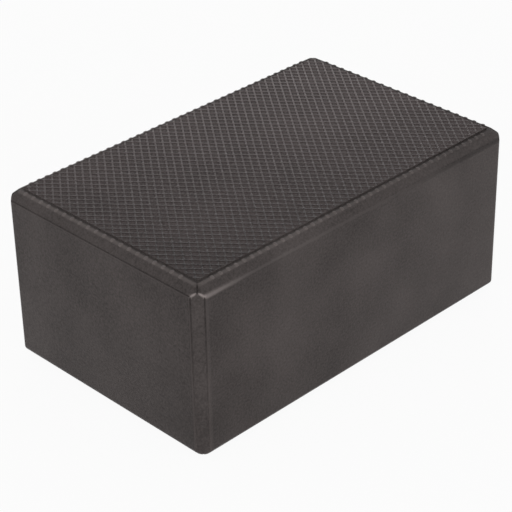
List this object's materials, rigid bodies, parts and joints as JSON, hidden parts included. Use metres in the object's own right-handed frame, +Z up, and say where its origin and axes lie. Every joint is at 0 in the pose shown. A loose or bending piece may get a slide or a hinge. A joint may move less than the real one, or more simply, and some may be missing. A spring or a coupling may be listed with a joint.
{
  "type": "yoga block",
  "caption": "Foam yoga block: a plain rectangular brick with bevelled edges and a grip pattern of small diamonds on its upper face.",
  "frame": {"origin": "middle of the flat underside", "axes": "+X along the block's length, +Y along its width, +Z up"},
  "size_m": [0.2286, 0.144, 0.1007],
  "materials": {
    "foam": "matte closed-cell EVA foam, charcoal grey"
  },
  "bodies": {
    "root": {"block": "foam"}
  },
  "joints": []
}
